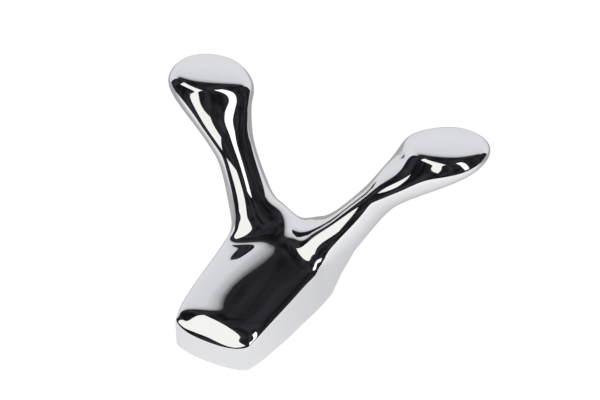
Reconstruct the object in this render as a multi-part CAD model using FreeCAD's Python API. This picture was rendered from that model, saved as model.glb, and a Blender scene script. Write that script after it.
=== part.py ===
"""Double robe hook: a small flat-backed base and two arms that spread into domed heads, cast in one piece.

Frame: X across the hook, -Y out of the wall, +Z up the wall. The flat back lies on the plane y = 0, and
the origin is midway between the two fixing holes. All sizes are in millimetres.
"""
import FreeCAD, Part
import math
import os

from FreeCAD import Matrix, Vector

# Base, seen from the front
base_below = 20.4
base_above = 20.2
base_low_half_width = 9.5
base_mid_half_width = 12.6
base_top_half_width = 12.4
base_low_bulge = 1.8
base_top_bulge = 1.3
base_low_corner_radius = 1.5
base_top_corner_radius = 7.0

# Front face of the base: how far its middle and its sides stand out at four even steps up its length
toe_middle_out = 9.8
toe_side_out = 4.9
waist_middle_out = 11.7
waist_side_out = 8.7
throat_middle_out = 13.8
throat_side_out = 11.3
crest_middle_out = 15.0
crest_side_out = 13.4
front_edge_radius = 1.2

# Nose: the sloping facet at the low end of the front
nose_out = 5.7
nose_slope = 48.0
nose_radius = 3.0

# Arms: each section spans from the inner line to the outer line of the arm, given as (across, out)
crotch_out = 15.0
crotch_back_out = 0.1
crotch_up = 17.6
crotch_half_width = 5.1
elbow_inner = (5.2, 16.6)
elbow_outer = (13.8, 6.6)
elbow_up = 18.6
elbow_half_width = 6.4
neck_inner = (15.2, 25.4)
neck_outer = (21.9, 21.5)
neck_up = 23.0
neck_half_width = 5.8
flare_inner = (19.1, 31.6)
flare_outer = (30.8, 28.9)
flare_up = 27.5
flare_half_width = 7.5
blend_radius = 4.0

# Heads: the rim, the edge rolled over above it, and the shoulder where the dome begins
rim_inner = (21.2, 35.4)
rim_outer = (42.5, 36.9)
rim_up = 32.0
rim_half_width = 10.8
edge_inner = (22.0, 37.4)
edge_outer = (41.8, 39.0)
edge_half_width = 9.9
shoulder_inner = (24.0, 38.9)
shoulder_outer = (39.4, 40.1)
dome_radius = 32.0

# Fixing: two blind holes for M4 screws, tapped from the back
hole_spacing = 25.0
hole_diameter = 3.3
hole_depth = 5.5
drill_point_angle = 118.0

LOFT_DEGREE = 4
LAST_STEP = 3
CUT_MARGIN = 2.0
SHARP_ANGLE = 0.5
TOUCH = 1e-3


def point(across, out, up):
    return Vector(across, -out, up)


def edge_middle(edge):
    return edge.valueAt((edge.FirstParameter + edge.LastParameter) / 2)


def base_plan():
    low_right = point(base_low_half_width, 0, -base_below)
    low_left = point(-base_low_half_width, 0, -base_below)
    top_right = point(base_top_half_width, 0, base_above)
    top_left = point(-base_top_half_width, 0, base_above)
    middle_up = (base_above - base_below) / 2
    low_end = Part.Arc(low_left, point(0, 0, -base_below - base_low_bulge), low_right)
    right_side = Part.Arc(low_right, point(base_mid_half_width, 0, middle_up), top_right)
    top_end = Part.Arc(top_right, point(0, 0, base_above + base_top_bulge), top_left)
    left_side = Part.Arc(top_left, point(-base_mid_half_width, 0, middle_up), low_left)
    return Part.Face(Part.Wire([curve.toShape() for curve in (low_end, right_side, top_end, left_side)]))


def corner_edges(block, above):
    edges = []
    for edge in block.Edges:
        ends = [vertex.Point for vertex in edge.Vertexes]
        runs_out = abs(ends[0].y - ends[-1].y) > TOUCH
        if runs_out and (ends[0].z > 0) == above:
            edges.append(edge)
    return edges


def front_section(step, middle_out, side_out):
    """The crowned front of the base at one step, closed round the free space in front of it."""
    low = -base_below - base_low_bulge - CUT_MARGIN
    top = base_above + base_top_bulge + CUT_MARGIN
    up = low + (top - low) * step / LAST_STEP
    half_width = base_mid_half_width + CUT_MARGIN
    clear_out = rim_outer[1]
    right = point(half_width, side_out, up)
    left = point(-half_width, side_out, up)
    far_right = point(half_width, clear_out, up)
    far_left = point(-half_width, clear_out, up)
    crown = Part.Arc(left, point(0, middle_out, up), right).toShape()
    return Part.Wire([
        crown,
        Part.makeLine(right, far_right),
        Part.makeLine(far_right, far_left),
        Part.makeLine(far_left, left),
    ])


def nose_space():
    """Free space in front of the nose, cut off square to the sides of the base."""
    low = -base_below - base_low_bulge
    half_width = base_mid_half_width + CUT_MARGIN
    reach = base_below
    climb = reach * math.tan(math.radians(nose_slope))
    below = point(-half_width, nose_out - climb, low - reach)
    above = point(-half_width, nose_out + climb, low + reach)
    clear = point(-half_width, nose_out + climb, low - reach)
    return Part.Face(Part.makePolygon([below, above, clear, below])).extrude(point(2 * half_width, 0, 0))


def sharp_front_edges(base):
    edges = []
    for edge in base.Edges:
        middle = edge_middle(edge)
        faces = [face for face in base.Faces if any(edge.isSame(other) for other in face.Edges)]
        normals = [face.normalAt(*face.Surface.parameter(middle)) for face in faces]
        if middle.y < -TOUCH and normals[0].getAngle(normals[-1]) > SHARP_ANGLE:
            edges.append(edge)
    return edges


def make_base():
    block = base_plan().extrude(point(0, rim_outer[1] - CUT_MARGIN, 0))
    block = block.makeFillet(base_low_corner_radius, corner_edges(block, False))
    block = block.makeFillet(base_top_corner_radius, corner_edges(block, True))
    space_in_front = Part.makeLoft([
        front_section(0, toe_middle_out, toe_side_out),
        front_section(1, waist_middle_out, waist_side_out),
        front_section(2, throat_middle_out, throat_side_out),
        front_section(LAST_STEP, crest_middle_out, crest_side_out),
    ], True)
    base = block.cut(space_in_front).cut(nose_space())
    front = max(base.Faces, key=lambda face: face.Area * (face.CenterOfMass.y < -TOUCH))
    centred = [edge for edge in front.Edges if abs(edge.CenterOfMass.x) < TOUCH]
    fold = min(centred, key=lambda edge: edge.CenterOfMass.z)
    base = base.makeFillet(nose_radius, [fold])
    return base.makeFillet(front_edge_radius, sharp_front_edges(base))


def section(side, inner, outer, up, half_width):
    """An ellipse from the inner to the outer line of the arm on one side (-1 left, 1 right)."""
    inner_end = point(side * inner[0], inner[1], up)
    outer_end = point(side * outer[0], outer[1], up)
    centre = (inner_end + outer_end) / 2
    half_thickness = outer_end - centre
    width = point(0, 0, half_width)
    normal = half_thickness.cross(width).normalize()
    place = Matrix(
        half_thickness.x, width.x, normal.x, centre.x,
        half_thickness.y, width.y, normal.y, centre.y,
        half_thickness.z, width.z, normal.z, centre.z,
        0, 0, 0, 1,
    )
    return Part.Wire(Part.makeCircle(1).transformGeometry(place).Edges)


def shoulder_radius():
    return math.dist(shoulder_inner, shoulder_outer) / 2


def arm_sections(side):
    return [
        section(side, elbow_inner, elbow_outer, elbow_up, elbow_half_width),
        section(side, neck_inner, neck_outer, neck_up, neck_half_width),
        section(side, flare_inner, flare_outer, flare_up, flare_half_width),
        section(side, rim_inner, rim_outer, rim_up, rim_half_width),
        section(side, edge_inner, edge_outer, rim_up, edge_half_width),
        section(side, shoulder_inner, shoulder_outer, rim_up, shoulder_radius()),
    ]


def make_arms():
    """Both arms as one loft, from head to head through the crotch."""
    crotch = section(1, (0, crotch_out), (0, crotch_back_out), crotch_up, crotch_half_width)
    sections = arm_sections(-1)[::-1] + [crotch] + arm_sections(1)
    return Part.makeLoft(sections, True, False, False, LOFT_DEGREE)


def make_dome(side):
    inner = point(side * shoulder_inner[0], shoulder_inner[1], rim_up)
    outer = point(side * shoulder_outer[0], shoulder_outer[1], rim_up)
    centre = (inner + outer) / 2
    across = (outer - centre).normalize()
    axis = across.cross(point(0, 0, 1)) * side
    half_angle = math.asin(shoulder_radius() / dome_radius) / 2
    ball = centre - axis * dome_radius * math.cos(2 * half_angle)
    apex = ball + axis * dome_radius
    between = ball + (axis * math.cos(half_angle) + across * math.sin(half_angle)) * dome_radius
    profile = Part.Wire([
        Part.makeLine(centre, outer),
        Part.Arc(outer, between, apex).toShape(),
        Part.makeLine(apex, centre),
    ])
    return Part.Face(profile).revolve(centre, axis, 360)


def make_hole(up):
    radius = hole_diameter / 2
    point_depth = radius / math.tan(math.radians(drill_point_angle / 2))
    bore = Part.makeCylinder(radius, hole_depth, point(0, 0, up), point(0, 1, 0))
    drill_point = Part.makeCone(radius, 0, point_depth, point(0, hole_depth, up), point(0, 1, 0))
    return bore.fuse(drill_point)


def seam_edges(body, base, arms):
    """The edges where the arms leave the base."""
    edges = []
    for edge in body.Edges:
        middle = edge_middle(edge)
        spot = Part.Vertex(middle)
        on_base = spot.distToShape(base.Shells[0])[0] < TOUCH
        on_arms = spot.distToShape(arms.Shells[0])[0] < TOUCH
        if on_base and on_arms and middle.y < -TOUCH:
            edges.append(edge)
    return edges


def make_hook():
    base = make_base()
    arms = make_arms()
    body = base.fuse(arms)
    body = body.makeFillet(blend_radius, seam_edges(body, base, arms))
    body = body.fuse([make_dome(-1), make_dome(1)])
    return body.cut([make_hole(-hole_spacing / 2), make_hole(hole_spacing / 2)])


os.makedirs("parts", exist_ok=True)
make_hook().exportStep("parts/hook_body.step")
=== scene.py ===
import math

import bmesh
import bpy
from mathutils import Matrix, Vector


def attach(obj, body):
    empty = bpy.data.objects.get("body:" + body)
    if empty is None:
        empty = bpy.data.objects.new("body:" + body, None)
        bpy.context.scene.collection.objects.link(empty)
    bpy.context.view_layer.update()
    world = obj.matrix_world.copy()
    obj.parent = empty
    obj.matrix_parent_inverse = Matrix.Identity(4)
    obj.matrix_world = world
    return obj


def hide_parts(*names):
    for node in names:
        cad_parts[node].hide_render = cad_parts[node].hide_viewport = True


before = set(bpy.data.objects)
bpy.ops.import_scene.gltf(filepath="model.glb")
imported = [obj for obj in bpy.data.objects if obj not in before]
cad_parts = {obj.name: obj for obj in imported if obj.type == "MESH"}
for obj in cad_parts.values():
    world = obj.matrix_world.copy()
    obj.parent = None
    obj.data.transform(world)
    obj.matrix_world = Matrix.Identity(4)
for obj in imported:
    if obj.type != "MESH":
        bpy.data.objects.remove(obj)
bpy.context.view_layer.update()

# The hook: one zinc casting, polished and plated with bright chrome, held by two screws from behind the wall.
# It is a smooth skin over a coarse cage: the base is drawn out of a grid on the wall, and each arm is drawn
# out of the base's upper corner, ring by ring, up to its domed head.
MM = 0.001


def spot(across, out, up):
    """A place on the hook in millimetres: across it, out of the wall and up the wall."""
    return Vector((across * MM, -out * MM, up * MM))


# Rows of the base's front, from its low end to the crotch: for each, the place of the four columns from
# the middle to the side, as (across, out, up).
FRONT_ROWS = [
    [(0, 6.0, -21.95), (4.2, 6.1, -21.75), (7.6, 6.4, -20.9), (9.6, 6.8, -19.8)],
    [(0, 8.1, -20.3), (4.1, 8.0, -20.1), (7.4, 7.75, -19.3), (9.95, 7.4, -18.5)],
    [(0, 10.1, -18.0), (4.1, 9.85, -17.8), (7.8, 9.1, -17.2), (10.45, 7.95, -16.9)],
    [(0, 10.75, -14.0), (4.6, 10.5, -13.8), (9.0, 9.7, -13.4), (11.0, 8.7, -13.2)],
    [(0, 12.0, -6.0), (5.0, 11.7, -6.0), (9.7, 10.7, -6.0), (11.7, 9.7, -6.0)],
    [(0, 12.85, 0.0), (5.0, 12.55, -0.2), (9.9, 11.5, -0.4), (12.05, 10.45, -0.4)],
    [(0, 13.5, 5.0), (4.2, 13.25, 4.6), (9.4, 12.2, 3.6), (12.3, 11.1, 3.6)],
    [(0, 14.05, 9.0), (3.2, 13.95, 8.6), (8.9, 12.9, 6.5), (12.6, 11.6, 6.6)],
    [(0, 14.85, 12.8), (3.9, 15.1, 11.6), (9.4, 14.2, 8.5), (12.8, 12.4, 9.2)],
    [(0, 15.0, 17.2), (4.2, 16.3, 18.2), (9.2, 12.0, 18.3), (14.9, 8.4, 16.4)],
    [(0, 13.3, 21.8), (4.2, 14.5, 22.3), (9.2, 12.2, 24.0), (13.6, 8.2, 21.6)],
]
# Plan of the base's walls as (across, up), by (column, row), and the share of a wall that is held straight.
WALL_PLAN = {
    (0, 0): (0, -22.0), (1, 0): (4.2, -21.8), (2, 0): (7.8, -21.0), (3, 0): (9.8, -19.9),
    (3, 1): (10.15, -18.5), (3, 2): (10.65, -16.9), (3, 3): (11.2, -13.2), (3, 4): (11.95, -6.0),
    (3, 5): (12.3, -0.4), (3, 6): (12.55, 3.6), (3, 7): (12.8, 6.6), (3, 8): (12.8, 10.0),
    (3, 9): (12.6, 15.0), (3, 10): (10.8, 19.4), (2, 10): (8.0, 20.8), (1, 10): (4.4, 21.4),
    (0, 10): (0, 21.5),
}
WALL_SHARE = 0.72
# Places where the wall already leans out under the arms.
WALL_LEAN = {
    (3, 9): (14.0, 5.2, 15.6), (3, 10): (12.3, 5.4, 20.8), (2, 10): (8.6, 7.0, 22.6),
    (1, 10): (4.5, 8.5, 22.4), (0, 10): (0, 8.5, 22.3),
}

# The arm's foot, just above the base: places as (across, out, up), by their side of the arm (-1 towards the
# other arm, 1 away from it) and their height on it (-1 low, 1 high).
ARM_FOOT = {
    (-1, -1): (7.7, 17.0, 12.0), (0, -1): (11.3, 15.5, 10.3), (1, -1): (14.2, 13.2, 12.3),
    (-1, 0): (6.8, 17.8, 18.3), (0, 0): (11.3, 14.2, 17.6), (1, 0): (16.0, 11.0, 17.2),
    (-1, 1): (7.6, 16.2, 22.4), (0, 1): (11.5, 13.5, 24.6), (1, 1): (14.6, 10.8, 22.2),
}
# Sections of each arm, from its foot to the head: inner line and outer line as (across, out), place up the
# wall, half width, how much the upper side leans back to the wall, and how full the section's corners are
# on its inner and on its outer side (0.71 is an ellipse, less is more pointed).
ARM_SECTIONS = [
    ((10.1, 20.1), (17.7, 14.0), 19.5, 6.4, 0.3, 0.74, 0.71),
    ((15.0, 25.6), (22.0, 21.5), 23.0, 5.8, 0, 0.71, 0.71),
    ((17.4, 29.0), (26.0, 25.7), 25.2, 6.7, 0, 0.7, 0.71),
    ((18.9, 31.6), (30.8, 28.9), 27.5, 7.9, 0, 0.685, 0.715),
    ((20.0, 33.5), (36.5, 32.5), 29.9, 9.1, 0, 0.675, 0.73),
    ((20.7, 35.4), (42.05, 36.7), 32.3, 10.25, 0.1, 0.67, 0.745),
    ((21.9, 37.4), (41.5, 39.2), 32.75, 9.15, 0.3, 0.66, 0.745),
    ((24.2, 38.9), (39.6, 40.1), 32.8, 7.6, 0.5, 0.67, 0.73),
]
HEAD_APEX = (31.7, 40.35, 32.6)

COLUMNS = len(FRONT_ROWS[0])
ROWS = len(FRONT_ROWS)
ARM_COLUMN = COLUMNS - 2
ARM_ROW = ROWS - 2
SAME_PLACE = 1e-6
FACING_BACK = 0.99
PUSH_ROUNDS = 2
SKIN_LEVELS = 4
SHARP_ANGLE = math.radians(50)
bpy.ops.object.select_all(action="DESELECT")
bpy.ops.mesh.primitive_grid_add(x_subdivisions=2 * COLUMNS - 2, y_subdivisions=ROWS - 1, size=1)
hook = bpy.context.object
hook.name = "polished_hook"
bpy.ops.object.mode_set(mode="EDIT")
cage = bmesh.from_edit_mesh(hook.data)
column_of = cage.verts.layers.int.new("column")
row_of = cage.verts.layers.int.new("row")
for vert in cage.verts:
    vert[column_of] = round((vert.co.x + 0.5) * (2 * COLUMNS - 2)) - (COLUMNS - 1)
    vert[row_of] = round((vert.co.y + 0.5) * (ROWS - 1))


def settle(place):
    """Put every selected cage point where place(column, row) says, in millimetres, on its own side."""
    for vert in cage.verts:
        if vert.select:
            column, row = vert[column_of], vert[row_of]
            across, out, up = place(abs(column), row)
            vert.co = spot(math.copysign(across, column) if column else 0, out, up)
    bmesh.update_edit_mesh(hook.data)


def back_place(column, row):
    if (column, row) in WALL_PLAN:
        across, up = WALL_PLAN[column, row]
        return across, 0, up
    side_across, side_up = WALL_PLAN[COLUMNS - 1, row]
    return side_across * column / (COLUMNS - 1), 0, side_up


def support_place(column, row):
    if (column, row) in WALL_LEAN:
        return WALL_LEAN[column, row]
    across, out, up = back_place(column, row)
    if row in (0, ROWS - 1) or column == COLUMNS - 1:
        out = FRONT_ROWS[row][column][1] * WALL_SHARE
    return across, out, up


def front_place(column, row):
    return FRONT_ROWS[row][column]


settle(back_place)
for place in (support_place, front_place):
    bpy.ops.mesh.extrude_region_move()
    settle(place)


def under_arm(vert):
    """Whether a cage point lies on the base's front, within a column and a row of an arm's middle."""
    column, row = abs(vert[column_of]), vert[row_of]
    on_front = abs(vert.co.y + FRONT_ROWS[row][column][1] * MM) < SAME_PLACE
    return on_front and column >= ARM_COLUMN - 1 and row >= ARM_ROW - 1


# The arms leave the base's front at its two upper corners.
bpy.ops.mesh.select_all(action="DESELECT")
for face in cage.faces:
    if all(under_arm(vert) for vert in face.verts):
        face.select = True
bmesh.update_edit_mesh(hook.data)


def foot_place(column, row):
    return ARM_FOOT[column - ARM_COLUMN, row - ARM_ROW]


def section_place(inner, outer, up, half_width, lean, inner_fullness, outer_fullness):
    """Place of a ring's points on the ellipse between the arm's inner and outer line."""
    def place(column, row):
        along = column - ARM_COLUMN
        over = row - ARM_ROW
        fullness = outer_fullness if along > 0 else inner_fullness
        reach = fullness if along and over else 1
        middle = (Vector(inner) + Vector(outer)) / 2
        half = (Vector(outer) - Vector(inner)) / 2
        across, out = middle + half * along * reach
        return across, out - lean * over * reach, up + half_width * over * reach
    return place


for place in [foot_place] + [section_place(*section) for section in ARM_SECTIONS]:
    bpy.ops.mesh.extrude_region_move()
    settle(place)
for vert in cage.verts:
    if vert.select and abs(vert[column_of]) == ARM_COLUMN and vert[row_of] == ARM_ROW:
        across, out, up = HEAD_APEX
        vert.co = spot(math.copysign(across, vert[column_of]), out, up)
bmesh.update_edit_mesh(hook.data)

# The back's outline stays a sharp edge.
bpy.ops.mesh.select_all(action="DESELECT")
for edge in cage.edges:
    flat = [abs(face.normal.y) > FACING_BACK for face in edge.link_faces]
    on_back = all(abs(vert.co.y) < SAME_PLACE for vert in edge.verts)
    edge.select = on_back and flat.count(True) == 1
bmesh.update_edit_mesh(hook.data)
bpy.ops.transform.edge_crease(value=1)
bpy.ops.mesh.select_all(action="SELECT")
bpy.ops.mesh.normals_make_consistent(inside=False)
bpy.ops.object.mode_set(mode="OBJECT")

# The cage is pushed out until the smooth skin passes nearly through the places given above.
smooth = hook.modifiers.new("smooth", "SUBSURF")
smooth.levels = 1
smooth.render_levels = 1
smooth.use_limit_surface = True
goals = [vert.co.copy() for vert in hook.data.vertices]
for _ in range(PUSH_ROUNDS):
    skin = hook.evaluated_get(bpy.context.evaluated_depsgraph_get()).to_mesh()
    for index, place in enumerate(goals):
        hook.data.vertices[index].co += place - skin.vertices[index].co
    hook.data.update()
smooth.levels = SKIN_LEVELS
smooth.render_levels = SKIN_LEVELS
bpy.ops.object.select_all(action="DESELECT")
bpy.context.view_layer.objects.active = hook
hook.select_set(True)
bpy.ops.object.modifier_apply(modifier=smooth.name)

# Two blind holes, drilled from the back and tapped for M4 screws.
HOLE_RADIUS = 1.65
HOLE_DEPTH = 5.5
HOLE_POINT = 1.0
HOLE_START = -2.0
HOLE_SIDES = 48
HOLE_PLACES = (-12.5, 12.5)
for up in HOLE_PLACES:
    bpy.ops.object.select_all(action="DESELECT")
    bpy.ops.mesh.primitive_cylinder_add(vertices=HOLE_SIDES, radius=HOLE_RADIUS, end_fill_type="TRIFAN")
    drill = bpy.context.object
    for vert in drill.data.vertices:
        out = HOLE_DEPTH if vert.co.z > 0 else HOLE_START
        if vert.co.z > 0 and vert.co.xy.length < HOLE_RADIUS / 2:
            out += HOLE_POINT
        vert.co = spot(vert.co.x, out, up + vert.co.y)
    cut = hook.modifiers.new("hole", "BOOLEAN")
    cut.operation = "DIFFERENCE"
    cut.solver = "EXACT"
    cut.object = drill
    bpy.ops.object.select_all(action="DESELECT")
    bpy.context.view_layer.objects.active = hook
    hook.select_set(True)
    bpy.ops.object.modifier_apply(modifier=cut.name)
    bpy.data.objects.remove(drill)
bpy.ops.object.shade_smooth_by_angle(angle=SHARP_ANGLE)

chrome = bpy.data.materials.new("bright_chrome")
chrome.use_nodes = True
nodes, links = chrome.node_tree.nodes, chrome.node_tree.links
shader = nodes["Principled BSDF"]
shader.inputs["Base Color"].default_value = (0.86, 0.865, 0.88, 1)
shader.inputs["Metallic"].default_value = 1
places = nodes.new("ShaderNodeTexCoord")
# Polishing leaves the gloss slightly uneven, and the skin very slightly rippled.
haze = nodes.new("ShaderNodeTexNoise")
haze.inputs["Scale"].default_value = 90
haze.inputs["Detail"].default_value = 4
links.new(places.outputs["Object"], haze.inputs["Vector"])
gloss = nodes.new("ShaderNodeMapRange")
gloss.inputs["From Min"].default_value = 0.3
gloss.inputs["From Max"].default_value = 0.7
gloss.inputs["To Min"].default_value = 0.02
gloss.inputs["To Max"].default_value = 0.055
links.new(haze.outputs["Fac"], gloss.inputs["Value"])
ripple = nodes.new("ShaderNodeTexNoise")
ripple.inputs["Scale"].default_value = 260
ripple.inputs["Detail"].default_value = 1
links.new(places.outputs["Object"], ripple.inputs["Vector"])
bump = nodes.new("ShaderNodeBump")
bump.inputs["Strength"].default_value = 0.15
bump.inputs["Distance"].default_value = 0.00003
links.new(ripple.outputs["Fac"], bump.inputs["Height"])
links.new(bump.outputs["Normal"], shader.inputs["Normal"])
# The back is ground flat and plated, but not polished.
depth = nodes.new("ShaderNodeSeparateXYZ")
links.new(places.outputs["Object"], depth.inputs["Vector"])
ground = nodes.new("ShaderNodeMapRange")
ground.inputs["From Min"].default_value = -0.15 * MM
ground.inputs["From Max"].default_value = -0.05 * MM
links.new(depth.outputs["Y"], ground.inputs["Value"])
finish = nodes.new("ShaderNodeMix")
links.new(ground.outputs["Result"], finish.inputs["Factor"])
links.new(gloss.outputs["Result"], finish.inputs["A"])
finish.inputs["B"].default_value = 0.38
links.new(finish.outputs["Result"], shader.inputs["Roughness"])
hook.data.materials.append(chrome)
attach(hook, "root")
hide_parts("hook_body")

# The camera looks down on the hook as it lies on its back, from its low end and its right. Its distance and
# target are in millimetres, and its focal length is in pixels of a picture of the given width.
ELEVATION = math.radians(35.25)
AZIMUTH = math.radians(29.96)
DISTANCE = 447.9
TARGET = (-5.11, 12.0, 29.71)
PHOTO_WIDTH = 600
FOCAL = 1809
SENSOR_WIDTH = 36
flat_share = math.cos(ELEVATION)
away = spot(math.sin(AZIMUTH) * flat_share, math.sin(ELEVATION), -math.cos(AZIMUTH) * flat_share) / MM
right = spot(math.cos(AZIMUTH), 0, math.sin(AZIMUTH)) / MM
above = away.cross(right)
camera_data = bpy.data.cameras.new("camera")
camera_data.sensor_width = SENSOR_WIDTH
camera_data.lens = FOCAL / PHOTO_WIDTH * SENSOR_WIDTH
camera_data.clip_start = 0.01
camera = bpy.data.objects.new("camera", camera_data)
bpy.context.scene.collection.objects.link(camera)
turn = Matrix((right, above, away)).transposed().to_4x4()
camera.matrix_world = Matrix.Translation(spot(*TARGET) + away * DISTANCE * MM) @ turn
bpy.context.scene.camera = camera

# The studio: a pale floor just behind the hook's back, a paper backdrop beyond it, a broad softbox on the
# camera's left and a narrow strip light on its right, in an otherwise dark room. Its sizes are in metres.
UPRIGHT = spot(0, 1, 0) / MM
HOOK_MIDDLE = spot(0, 20, 10)


def toward(azimuth, elevation):
    """Direction from the hook, by its angle round from the camera's side and its height above the floor."""
    turned = AZIMUTH + math.radians(azimuth)
    level = math.cos(math.radians(elevation))
    return spot(math.sin(turned) * level, math.sin(math.radians(elevation)), -math.cos(turned) * level) / MM


def facing_in(direction, distance):
    """Place at a distance from the hook's middle, with local Z turned to face it and local Y upright."""
    side = UPRIGHT.cross(direction).normalized()
    turn = Matrix((side, direction.cross(side), direction)).transposed().to_4x4()
    return Matrix.Translation(HOOK_MIDDLE + direction * distance) @ turn


def stage_material(name, colour, seen_strength, shade, along, mirrored):
    """A pale surface that is white to the camera, keeps a soft shadow and shows greyer in the chrome.

    How grey it shows there changes along one direction, as painted shade: mirrored lists (metres along it,
    strength).
    """
    material = bpy.data.materials.new(name)
    material.use_nodes = True
    nodes, links = material.node_tree.nodes, material.node_tree.links
    nodes.clear()
    output = nodes.new("ShaderNodeOutputMaterial")
    path = nodes.new("ShaderNodeLightPath")
    strength = nodes.new("ShaderNodeMix")
    strength.inputs["B"].default_value = seen_strength
    geometry = nodes.new("ShaderNodeNewGeometry")
    measure = nodes.new("ShaderNodeVectorMath")
    measure.operation = "DOT_PRODUCT"
    measure.inputs[1].default_value = along
    links.new(geometry.outputs["Position"], measure.inputs[0])
    first, last = mirrored[0][0], mirrored[-1][0]
    share = nodes.new("ShaderNodeMapRange")
    share.inputs["From Min"].default_value = first
    share.inputs["From Max"].default_value = last
    links.new(measure.outputs["Value"], share.inputs["Value"])
    # Painted shade: this ramp darkens the surface, as seen in the chrome, wherever the listed strengths fall.
    painted_shade_ramp = nodes.new("ShaderNodeValToRGB")
    stops = painted_shade_ramp.color_ramp.elements
    while len(stops) < len(mirrored):
        stops.new(1)
    for stop, (metres, level) in zip(stops, mirrored):
        stop.position = (metres - first) / (last - first)
        stop.color = (level, level, level, 1)
    links.new(share.outputs["Result"], painted_shade_ramp.inputs["Fac"])
    links.new(painted_shade_ramp.outputs["Color"], strength.inputs["A"])
    links.new(path.outputs["Is Camera Ray"], strength.inputs["Factor"])
    glow = nodes.new("ShaderNodeEmission")
    glow.inputs["Color"].default_value = colour
    links.new(strength.outputs["Result"], glow.inputs["Strength"])
    matt = nodes.new("ShaderNodeBsdfDiffuse")
    matt.inputs["Color"].default_value = (shade, shade, shade, 1)
    both = nodes.new("ShaderNodeAddShader")
    links.new(glow.outputs["Emission"], both.inputs[0])
    links.new(matt.outputs["BSDF"], both.inputs[1])
    clear = nodes.new("ShaderNodeBsdfTransparent")
    one_sided = nodes.new("ShaderNodeMixShader")
    links.new(geometry.outputs["Backfacing"], one_sided.inputs["Fac"])
    links.new(both.outputs["Shader"], one_sided.inputs[1])
    links.new(clear.outputs["BSDF"], one_sided.inputs[2])
    links.new(one_sided.outputs["Shader"], output.inputs["Surface"])
    return material


FLOOR_SIZE = 8
FLOOR_GAP = 0.0004
# The floor's strength in the chrome, by metres behind the hook; the dark band about 5 to 16 cm behind it is a
# painted shadow of the hook.
FLOOR_LEVELS_WITH_PAINTED_SHADOW = [(-0.15, 0.92), (-0.02, 0.8), (0.05, 0.32), (0.16, 0.32), (0.5, 0.7)]
behind = toward(180, 0)
sideways = toward(90, 0)
bpy.ops.object.select_all(action="DESELECT")
bpy.ops.mesh.primitive_plane_add(
    size=FLOOR_SIZE, location=(0, FLOOR_GAP, 0), rotation=(math.radians(90), 0, 0))
floor = bpy.context.object
floor.name = "floor"
floor_paper = stage_material(
    "floor_paper", colour=(0.98, 0.98, 1, 1), seen_strength=0.95, shade=0.3, along=behind,
    mirrored=FLOOR_LEVELS_WITH_PAINTED_SHADOW)
floor.data.materials.append(floor_paper)

BACKDROP_DISTANCE = 1.2
BACKDROP_SPAN = (-2.2, 1.9)
BACKDROP_TOP = 1.5
# The backdrop's strength in the chrome, by height above the floor; its darkening towards the top is painted
# shade.
BACKDROP_LEVELS_WITH_PAINTED_SHADE = [(0, 0.75), (0.5, 0.8), (1.1, 0.72), (1.35, 0.45), (BACKDROP_TOP, 0.03)]
bpy.ops.object.select_all(action="DESELECT")
bpy.ops.mesh.primitive_plane_add(size=1)
backdrop = bpy.context.object
backdrop.name = "backdrop"
for vert in backdrop.data.vertices:
    across = BACKDROP_SPAN[0] if vert.co.x < 0 else BACKDROP_SPAN[1]
    rise = 0 if vert.co.y < 0 else BACKDROP_TOP
    vert.co = behind * BACKDROP_DISTANCE + sideways * across + UPRIGHT * rise
backdrop_paper = stage_material(
    "backdrop_paper", colour=(0.96, 0.97, 1, 1), seen_strength=0.93, shade=0.1, along=UPRIGHT,
    mirrored=BACKDROP_LEVELS_WITH_PAINTED_SHADE)
backdrop.data.materials.append(backdrop_paper)
backdrop.visible_camera = False

# Each lamp's name, angle round from the camera, angle above the floor, distance, width, height, radiance
# and colour.
LAMPS = [
    ("softbox", -61, 44, 1.0, 1.1, 0.66, 1.02, (1, 0.99, 0.94)),
    ("strip", 52, 42, 1.0, 0.26, 0.95, 1.4, (1, 1, 1)),
]
for name, azimuth, elevation, distance, width, height, radiance, colour in LAMPS:
    lamp_data = bpy.data.lights.new(name, "AREA")
    lamp_data.shape = "RECTANGLE"
    lamp_data.size = width
    lamp_data.size_y = height
    lamp_data.energy = radiance * math.pi * width * height
    lamp_data.color = colour
    lamp = bpy.data.objects.new(name, lamp_data)
    lamp.visible_camera = False
    bpy.context.scene.collection.objects.link(lamp)
    lamp.matrix_world = facing_in(toward(azimuth, elevation), distance)

# The room is dark and uneven in the chrome, and white to the camera.
world = bpy.data.worlds.new("studio")
world.use_nodes = True
bpy.context.scene.world = world
nodes, links = world.node_tree.nodes, world.node_tree.links
path = nodes.new("ShaderNodeLightPath")
room = nodes.new("ShaderNodeMix")
room.data_type = "RGBA"
directions = nodes.new("ShaderNodeTexCoord")
gloom = nodes.new("ShaderNodeTexNoise")
gloom.inputs["Scale"].default_value = 4
gloom.inputs["Detail"].default_value = 3
links.new(directions.outputs["Generated"], gloom.inputs["Vector"])
dark = nodes.new("ShaderNodeValToRGB")
dark.color_ramp.elements[0].position = 0.35
dark.color_ramp.elements[0].color = (0.007, 0.007, 0.009, 1)
dark.color_ramp.elements[1].position = 0.68
dark.color_ramp.elements[1].color = (0.036, 0.036, 0.043, 1)
links.new(gloom.outputs["Fac"], dark.inputs["Fac"])
links.new(dark.outputs["Color"], room.inputs["A"])
room.inputs["B"].default_value = (1, 1, 1, 1)
links.new(path.outputs["Is Camera Ray"], room.inputs["Factor"])
links.new(room.outputs["Result"], nodes["Background"].inputs["Color"])

bpy.context.scene.view_settings.view_transform = "Standard"
